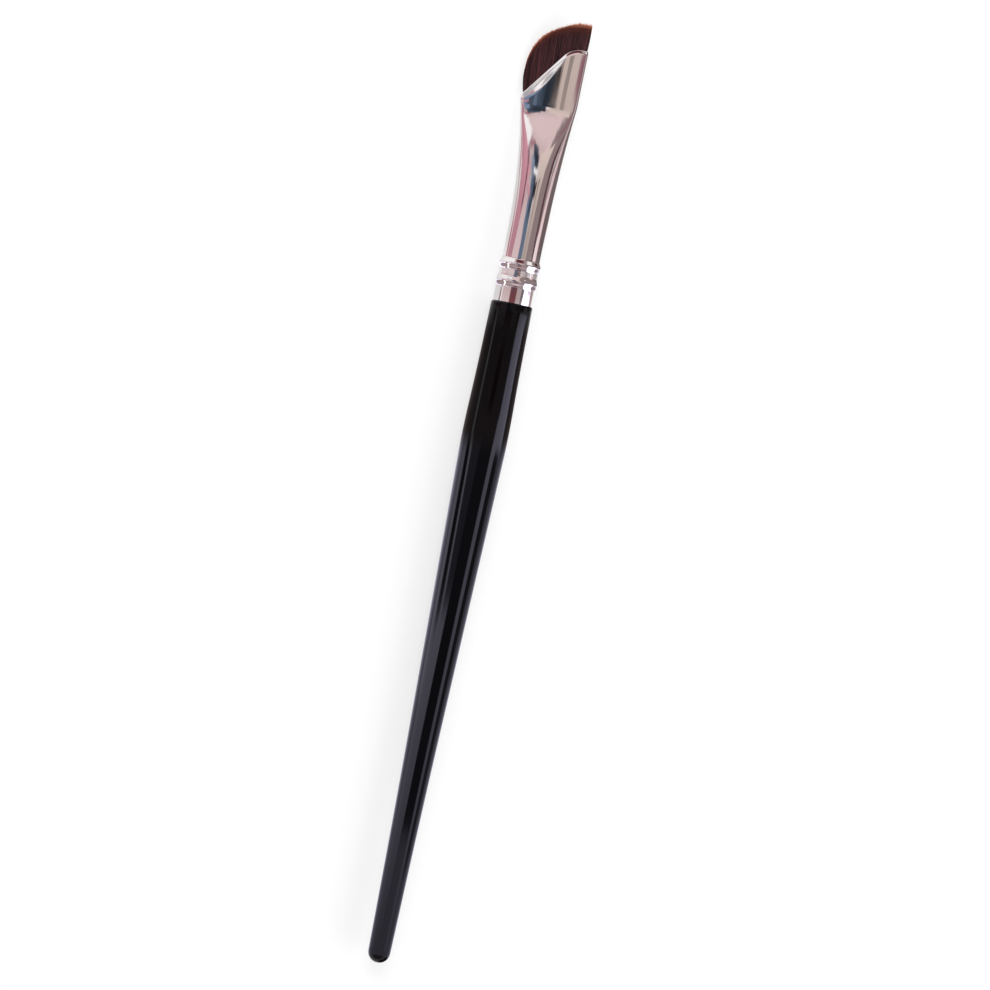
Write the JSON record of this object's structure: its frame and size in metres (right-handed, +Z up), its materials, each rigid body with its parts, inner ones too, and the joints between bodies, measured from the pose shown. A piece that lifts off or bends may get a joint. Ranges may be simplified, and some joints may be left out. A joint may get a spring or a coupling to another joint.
{
  "type": "eyeliner brush",
  "caption": "Slim makeup brush for eyeliner: turned wooden handle with a belly near the ferrule, bright metal ferrule pressed flat to a slanted mouth, and a stiff tuft with a crescent tip.",
  "frame": {"origin": "on the ground under the middle of the brush's bounding box, with the brush lying as it comes to rest", "axes": "+Y along the brush from the tail of the handle to the tip of the hair, +Z up from the ground, +X towards the high side of the slanted mouth. The handle's axis dips by under 1 degree towards the head, and the flat face of the head is rolled by about 27 degrees from level, with its low corner on the ground"},
  "size_m": [0.0102, 0.18, 0.0087],
  "materials": {
    "lacquered_wood": "high-gloss black lacquer",
    "bright_metal": "mirror polish",
    "hair": "fine dark brown filaments with rust-coloured tips",
    "set_glue": "set amber glue"
  },
  "bodies": {
    "root": {"handle": "lacquered_wood", "ferrule": "bright_metal", "bristles": "hair", "glue_plug": "set_glue"}
  },
  "joints": []
}
